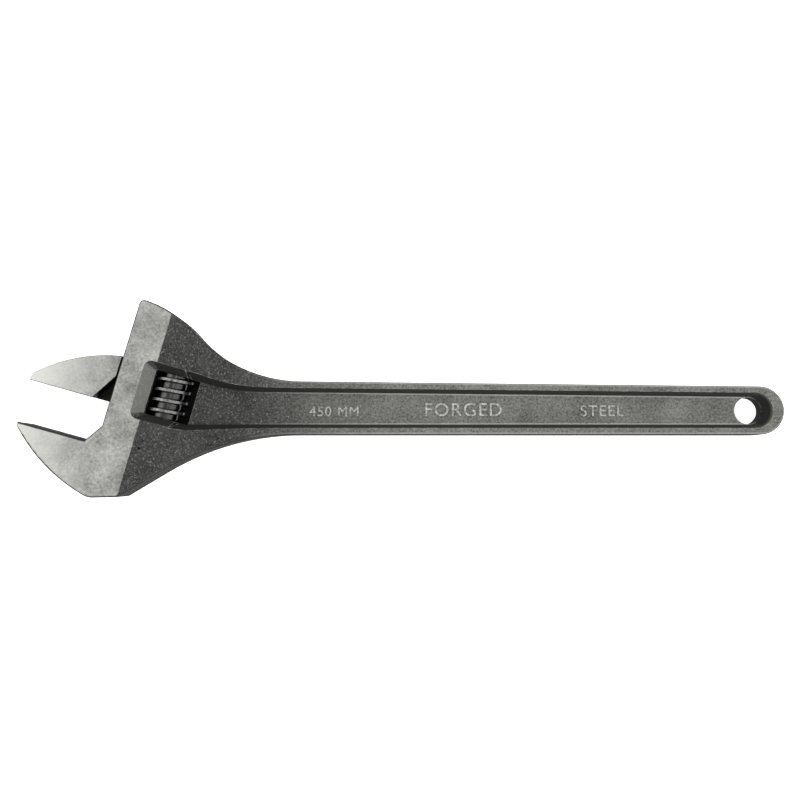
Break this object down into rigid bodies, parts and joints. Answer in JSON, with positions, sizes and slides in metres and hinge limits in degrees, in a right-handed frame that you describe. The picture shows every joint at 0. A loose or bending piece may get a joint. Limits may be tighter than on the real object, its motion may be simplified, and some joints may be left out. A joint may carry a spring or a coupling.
{
  "type": "adjustable wrench",
  "caption": "Adjustable wrench: one-piece forged body with fixed jaw, sliding jaw on a round rack bar, and a thumb-turned worm on a screw pin.",
  "frame": {"origin": "middle of the footprint, on the face the tool lies on", "axes": "+X along the handle away from the head, +Y to the side of the sliding jaw, +Z out of the flat faces"},
  "size_m": [0.4574, 0.1181, 0.026],
  "materials": {
    "forged_body": "drop forged, black oxide, with ground faces on the head",
    "ground_jaw": "ground flat, clear oiled",
    "black_knurl": "turned, black oxide, oiled",
    "pin_steel": "turned, black oxide",
    "spring_steel": "drawn spring wire"
  },
  "bodies": {
    "forging": {"wrench_body": "forged_body", "knurl_pin": "pin_steel", "knurl_spring": "spring_steel"},
    "jaw": {"sliding_jaw": "ground_jaw"},
    "knurl": {"adjusting_knurl": "black_knurl"}
  },
  "joints": [
    {"name": "knurl_turn", "type": "hinge", "parent": "forging", "child": "knurl", "pos_m": [-0.14088, 0.00234, 0.013], "axis": [-0.2672, -0.9636, 0], "range_deg": [-1452, 1509]},
    {"name": "jaw_slide", "type": "slide", "parent": "forging", "child": "jaw", "axis": [0.2672, 0.9636, 0], "range_m": [-0.0256, 0.0266]}
  ],
  "couplings": [
    {"joint": "knurl_turn", "follows": "jaw_slide", "rad_per_m": 989.48}
  ]
}
